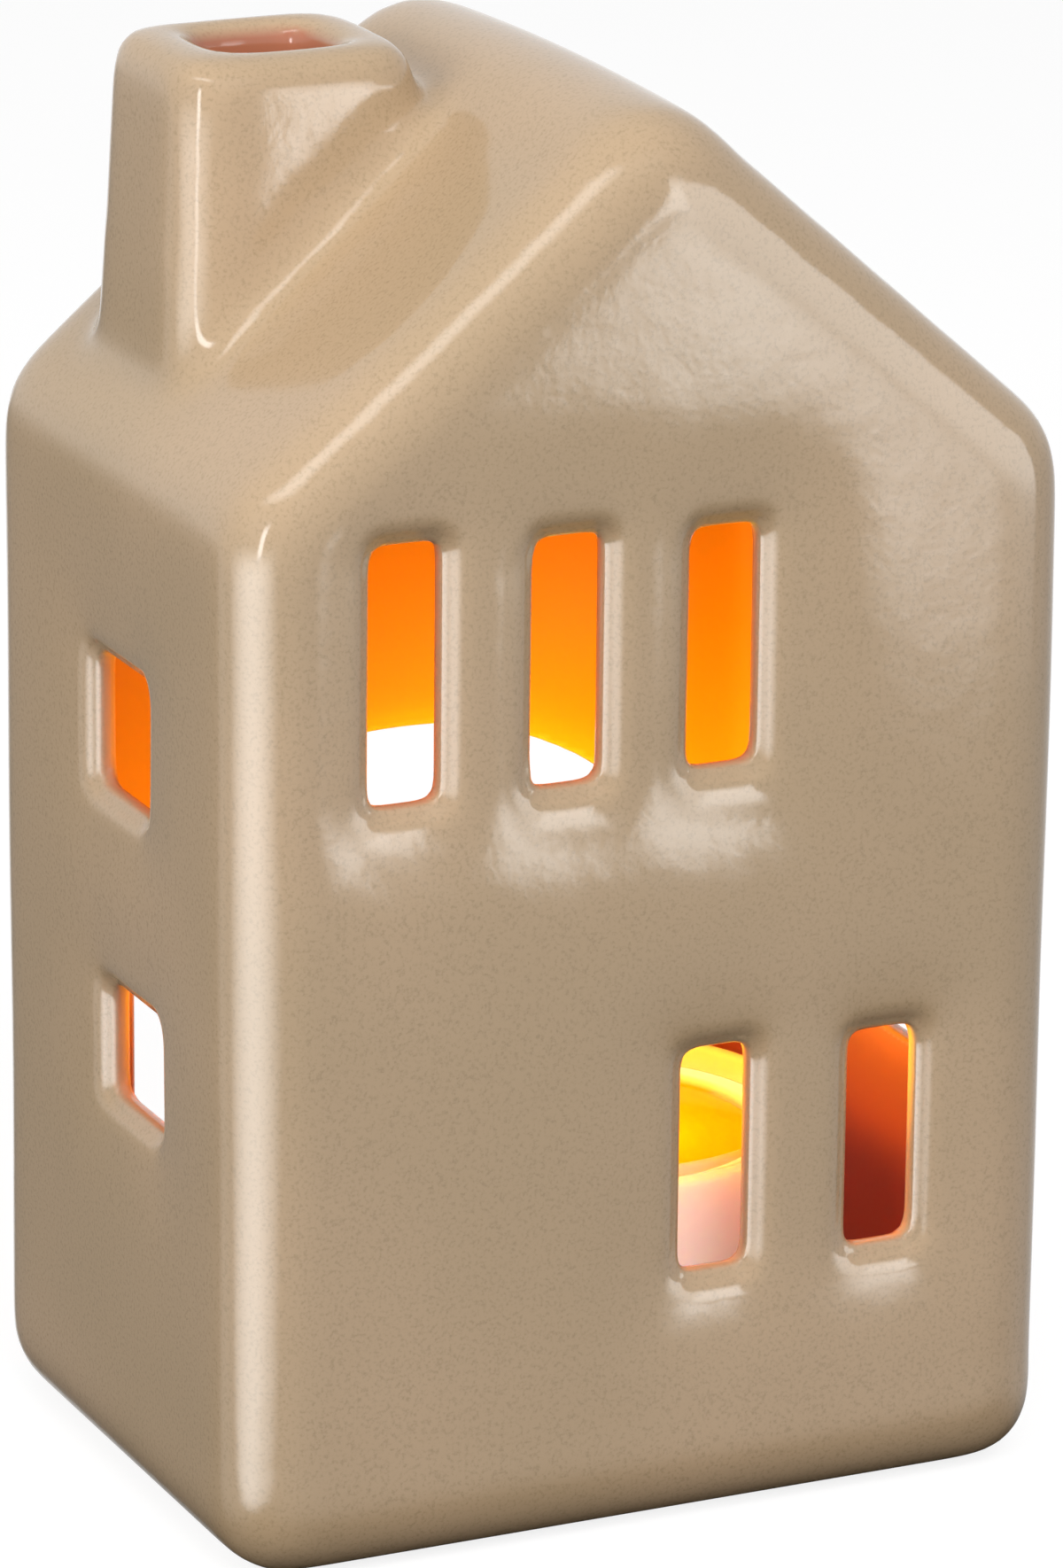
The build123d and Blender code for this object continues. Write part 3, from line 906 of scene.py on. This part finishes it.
def wick_material(looks):
    """Cotton soaked in wax, burnt black above the pool."""
    material, shader = new_material("cotton_wick")
    place = shader.place()
    strands = shader.noise(place, STRAND_GRAIN, roughness=0.6)
    burnt = (shader.axis(place, "Z") + strands * BURN_FRAY).step(BURN_STARTS, BURN_ENDS)
    finish_material(shader, {
        "Base Color": shader.mix(burnt, looks.cotton, looks.char),
        "Roughness": COTTON_ROUGHNESS + burnt * (CHAR_ROUGHNESS - COTTON_ROUGHNESS),
        "Normal": shader.bump(strands, STRAND_DEPTH),
    })
    return material


class TEALIGHT_OT_wick(bpy.types.Operator):
    """Makes the wick: three twisted strands, bent over and burnt at the tip"""

    bl_idname = "tealight.wick"
    bl_label = "Wick"

    def execute(self, context):
        low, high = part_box("wick")
        bend = POOL_LEVEL + WICK_STRAIGHT
        run = bend - low.z + WICK_BEND_RADIUS * WICK_BEND_ANGLE
        shares = [WICK_SHAFT] * (WICK_RINGS - len(WICK_TIP)) + list(WICK_TIP)
        heights = np.linspace(low.z, low.z + run, WICK_RINGS)
        rings = [(WICK_RADIUS * share, height) for share, height in zip(shares, heights)]
        wick = turned("twisted_wick", rings, WICK_SIDES)
        rows = bend_over(twist_strands(read_rows(wick.data.vertices, "co")), bend)
        move_to(wick, rows, (low, high))
        settle(wick, "tealight", wick_material(context.scene.candle_looks), ["wick"])
        return {"FINISHED"}


def steel_material(looks):
    """Tinplate, dulled a little by a fine grain."""
    material, shader = new_material("tinned_steel")
    grain = shader.noise(shader.place(), STEEL_GRAIN, roughness=0.6)
    finish_material(shader, {
        "Base Color": looks.steel,
        "Metallic": 1.0,
        "Roughness": grain * STEEL_GRAIN_ROUGHNESS + STEEL_ROUGHNESS,
        "Normal": shader.bump(grain, STEEL_GRAIN_DEPTH),
    })
    return material


class TEALIGHT_OT_wick_holder(bpy.types.Operator):
    """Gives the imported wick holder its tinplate"""

    bl_idname = "tealight.wick_holder"
    bl_label = "Wick holder"

    def execute(self, context):
        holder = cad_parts["wick_holder"]
        holder.data.materials.clear()
        holder.data.materials.append(steel_material(context.scene.candle_looks))
        return {"FINISHED"}


def flame_rings(low, looks):
    """The section of the flame: a low belly that narrows to a point."""
    shares = np.linspace(0, 1, FLAME_RINGS)
    swell = np.sin(np.pi * shares ** FLAME_BELLY) ** FLAME_FULLNESS * (1 - FLAME_TAPER * shares)
    radii = np.maximum(looks.flame_radius * swell / swell.max(), FLAME_POINT)
    return [(radius, low + share * looks.flame_height) for radius, share in zip(radii, shares)]


def flame_material(looks, low):
    """A flame: bright in its body, and more orange at its foot and its point."""
    material, shader = new_material("candle_flame")
    up = (shader.axis(shader.place(), "Z") - low) * (1 / looks.flame_height)
    tint = shader.mix(up.step(*FLAME_FOOT_TINT), looks.flame_foot, looks.flame_core)
    tint = shader.mix(up.step(FLAME_TIP_TINT, 1), tint, looks.flame_tip)
    finish_material(shader, {
        "Base Color": (0, 0, 0),
        "Roughness": 1.0,
        "Specular IOR Level": 0.0,
        "Emission Color": tint,
        "Emission Strength": looks.flame_strength,
    })
    return material


class TEALIGHT_OT_flame(bpy.types.Operator):
    """Lights the candle: a flame at the wick's tip and the warm light that it throws"""

    bl_idname = "tealight.flame"
    bl_label = "Flame"

    def execute(self, context):
        looks = context.scene.candle_looks
        wick_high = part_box("wick")[1]
        foot = Vector((wick_high.x - WICK_RADIUS, CANDLE_AXIS.y, wick_high.z - FLAME_DIP))
        flame = turned("candle_flame", flame_rings(foot.z, looks), FLAME_SIDES, foot)
        flame.visible_shadow = False
        flame.visible_diffuse = False
        settle(flame, "tealight", flame_material(looks, foot.z))
        under = foot - Vector((0, 0, LAMP_DROP))
        upward = self.add_lamp("candlelight", "SPOT", under, looks.light_power, looks)
        upward.rotation_euler = (math.pi, 0, 0)
        upward.data.spot_size = math.pi
        upward.data.spot_blend = LAMP_BLEND
        above = foot + Vector((0, 0, GLOW_PLACE * looks.flame_height))
        self.add_lamp("candle_glow", "POINT", above, looks.glow_power, looks)
        return {"FINISHED"}

    def add_lamp(self, name, kind, place, power, looks):
        """A lamp in the flame that rides with the candle and isn't seen itself."""
        lamp = bpy.data.lights.new(name, kind)
        lamp.color = looks.light
        lamp.energy = power
        lamp.shadow_soft_size = LAMP_SPREAD * looks.flame_radius
        light = bpy.data.objects.new(name, lamp)
        light.location = place
        light.visible_camera = False
        light.visible_glossy = False
        bpy.context.scene.collection.objects.link(light)
        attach(light, "tealight")
        return light


# Studio

class Card(NamedTuple):
    """A glowing card that faces the house. It stands at an azimuth, counted from the front to the
    right, and an elevation, both in degrees, and its distance and size are in metres. Its fades are the
    shares of it over which it dies away from the left, the right, below and above."""

    azimuth: float
    elevation: float
    distance: float
    width: float
    height: float
    strength: float
    fades: tuple


class FrontCard(NamedTuple):
    """A glowing card that faces back, before the house. Its place and size are in millimetres and its
    roll in degrees."""

    across: float
    up: float
    roll: float
    width: float
    height: float
    strength: float
    fades: tuple


# Cards that light the surfaces and don't show in the glaze
LIGHTING_CARDS = {
    "key_card": Card(-4, 42, 0.90, 0.70, 0.50, 7.3, (0.1,) * 4),
    "left_fill_card": Card(-72, 24, 0.60, 0.50, 0.40, 6.4, (0.2,) * 4),
    "top_card": Card(0, 89, 0.90, 0.80, 0.80, 0.8, (0.2,) * 4),
    "back_card": Card(-170, 36, 0.70, 0.70, 0.45, 0.7, (0.2,) * 4),
}

# Cards that only shine in the glaze. The flags are dim, and darken what they hide there.
SHINING_CARDS = {
    "roof_card": Card(-168, 28, 0.60, 0.40, 0.24, 0.9, (0.4,) * 4),
    "left_card": Card(-64, -8, 0.60, 1.30, 0.50, 8.2, (0.5, 0.5, 0.1, 0.5)),
    "rake_card": Card(-60, 52, 0.70, 0.80, 0.16, 5.5, (0.35, 0.45, 0.4, 0.4)),
    "side_card": Card(46, -2, 0.90, 0.62, 0.50, 5.0, (0.12, 0.03, 0.45, 0.03)),
    "corner_card": Card(-56, 16, 0.50, 0.09, 0.30, 12.0, (0.3,) * 4),
    "left_flag": Card(-156, -20, 0.80, 0.80, 0.70, 0.25, (0.2, 0.2, 0.1, 0.3)),
    "right_flag": Card(106, -14, 0.70, 0.70, 0.60, 0.8, (0.2, 0.2, 0.1, 0.3)),
    "ground_flag": Card(0, -89, 0.26, 1.10, 1.10, 0.0, (0.3,) * 4),
}

# Cards before the front that only shine in its glaze
FRONT_CARD_Y = -900
FRONT_CARDS = {
    "front_card": FrontCard(444, 190, 0, 232, 575, 7.5, (0.06, 0.1, 0.15, 0.5)),
    "gable_card": FrontCard(476, -156, -44.5, 200, 150, 7.6, (0.0, 0.75, 0.5, 0.0)),
}


def towards(azimuth, elevation):
    """The direction with an azimuth, counted from the front to the right, and an elevation."""
    level = math.cos(elevation)
    return Vector((math.sin(azimuth) * level, -math.cos(azimuth) * level, math.sin(elevation)))


def facing(back, roll=0):
    """The turn of a thing that looks along -back, with its up side up and then rolled."""
    right = (-back).cross(Vector((0, 0, 1))).normalized()
    up = right.cross(-back)
    across = right * math.cos(roll) + up * math.sin(roll)
    upward = up * math.cos(roll) - right * math.sin(roll)
    return Matrix((across, upward, back)).transposed()


def card_material(name, strength, fades):
    """A glow that dies away towards the sides of its card."""
    left, right, below, above = fades
    material, shader = new_material(name)
    place = shader.node("ShaderNodeTexCoord", output="UV")
    glow = 1.0
    for which, near, far in (("X", left, right), ("Y", below, above)):
        along = shader.axis(place, which)
        if near:
            glow = along.step(0, near) * glow
        if far:
            glow = (1 - along).step(0, far) * glow
    clear = shader.node("ShaderNodeBsdfTransparent")
    emission = shader.node("ShaderNodeEmission", {"Strength": strength})
    shader.node("ShaderNodeOutputMaterial", {"Surface": shader.blend(glow, clear, emission)})
    return material


def add_card(name, middle, turn, size, material, lights):
    """A card that either lights the surfaces or shines in the glaze."""
    bpy.ops.object.select_all(action="DESELECT")
    bpy.ops.mesh.primitive_plane_add(size=1, location=middle, rotation=turn.to_euler())
    card = bpy.context.object
    card.name = name
    card.scale = (*size, 1)
    bpy.ops.object.transform_apply()
    card.data.materials.append(material)
    card.visible_camera = False
    card.visible_shadow = False
    card.visible_diffuse = lights
    card.visible_glossy = not lights
    card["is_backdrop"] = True


class TEALIGHT_OT_studio(bpy.types.Operator):
    """Sets up the pale floor, the lamps and the camera"""

    bl_idname = "tealight.studio"
    bl_label = "Studio"

    def execute(self, context):
        looks = context.scene.studio_looks
        scene = context.scene
        scene.view_settings.view_transform = "Standard"
        self.add_world(scene, looks)
        self.add_floor(looks)
        self.add_cards(LIGHTING_CARDS, True)
        self.add_cards(SHINING_CARDS, False)
        self.add_front_cards()
        self.add_camera(scene, looks)
        return {"FINISHED"}

    def add_world(self, scene, looks):
        """White to the eye, and an even light of its own strength on surfaces."""
        world = bpy.data.worlds.new("studio_world")
        world.use_nodes = True
        scene.world = world
        shader = Shader(world.node_tree)
        white = shader.node("ShaderNodeBackground", {"Color": (1, 1, 1), "Strength": 1.0})
        sky = shader.node("ShaderNodeBackground", {"Color": (1, 1, 1), "Strength": looks.sky})
        shader.node("ShaderNodeOutputWorld", {"Surface": shader.blend(shader.seen(), sky, white)})

    def add_floor(self, looks):
        """A wide pale floor that keeps the shadow of the house."""
        bpy.ops.object.select_all(action="DESELECT")
        bpy.ops.mesh.primitive_plane_add(size=FLOOR_SIZE)
        floor = bpy.context.object
        floor.name = "studio_floor"
        material, shader = new_material("studio_floor")
        matt = shader.node("ShaderNodeBsdfDiffuse", {"Color": looks.floor})
        glow = shader.node("ShaderNodeEmission", {"Strength": shader.seen() * looks.floor_glow})
        both = shader.node("ShaderNodeAddShader", {0: matt, 1: glow})
        shader.node("ShaderNodeOutputMaterial", {"Surface": both})
        floor.data.materials.append(material)
        floor.visible_glossy = False
        floor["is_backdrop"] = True

    def add_cards(self, cards, lights):
        """Cards that stand round the house and face its middle."""
        middle = Vector((0, 0, HOUSE_HIGH.z / 2))
        for name, card in cards.items():
            way = towards(math.radians(card.azimuth), math.radians(card.elevation))
            material = card_material(name, card.strength, card.fades)
            size = (card.width, card.height)
            add_card(name, middle + way * card.distance, facing(-way), size, material, lights)

    def add_front_cards(self):
        """Cards that stand before the front and face back."""
        for name, card in FRONT_CARDS.items():
            place = Vector((card.across, FRONT_CARD_Y, card.up)) * MM
            turn = facing(Vector((0, -1, 0)), math.radians(card.roll))
            material = card_material(name, card.strength, card.fades)
            add_card(name, place, turn, (card.width * MM, card.height * MM), material, False)

    def add_camera(self, scene, looks):
        """The camera, where the photograph was taken from."""
        camera = bpy.data.cameras.new("studio_camera")
        camera.sensor_fit = "VERTICAL"
        camera.sensor_height = SENSOR_HEIGHT
        camera.lens = looks.lens
        holder = bpy.data.objects.new("studio_camera", camera)
        scene.collection.objects.link(holder)
        back = towards(looks.azimuth, looks.elevation)
        stand = Matrix.Translation(CAMERA_TARGET + back * looks.distance)
        holder.matrix_world = stand @ facing(back, looks.roll).to_4x4()
        scene.camera = holder


LOOKS = {"house_looks": HouseLooks, "candle_looks": CandleLooks, "studio_looks": StudioLooks}
OPERATORS = (
    TEALIGHT_OT_house,
    TEALIGHT_OT_cup,
    TEALIGHT_OT_wax,
    TEALIGHT_OT_wick,
    TEALIGHT_OT_wick_holder,
    TEALIGHT_OT_flame,
    TEALIGHT_OT_studio,
)


class TEALIGHT_PT_panel(bpy.types.Panel):
    """The pieces and the studio, one button each, and the values that they use"""

    bl_idname = "TEALIGHT_PT_panel"
    bl_label = "Tealight House"
    bl_space_type = "VIEW_3D"
    bl_region_type = "UI"
    bl_category = "Tealight House"

    def draw(self, context):
        for operator in OPERATORS:
            self.layout.operator(operator.bl_idname)
        for looks in LOOKS:
            group = getattr(context.scene, looks)
            for name in group.bl_rna.properties.keys():
                if name not in ("rna_type", "name"):
                    self.layout.prop(group, name)


def register():
    for item in (*LOOKS.values(), *OPERATORS, TEALIGHT_PT_panel):
        bpy.utils.register_class(item)
    for name, group in LOOKS.items():
        setattr(bpy.types.Scene, name, bpy.props.PointerProperty(type=group))


def unregister():
    for name in LOOKS:
        delattr(bpy.types.Scene, name)
    for item in (TEALIGHT_PT_panel, *reversed(OPERATORS), *LOOKS.values()):
        bpy.utils.unregister_class(item)


def main():
    register()
    bpy.ops.tealight.house()
    bpy.ops.tealight.cup()
    bpy.ops.tealight.wax()
    bpy.ops.tealight.wick()
    bpy.ops.tealight.wick_holder()
    bpy.ops.tealight.flame()
    bpy.ops.tealight.studio()
    boxes = {"cad": CAD_BOX, "visual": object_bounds()}
    boxes = {name: [list(corner) for corner in box] for name, box in boxes.items()}


if __name__ == "__main__":
    main()
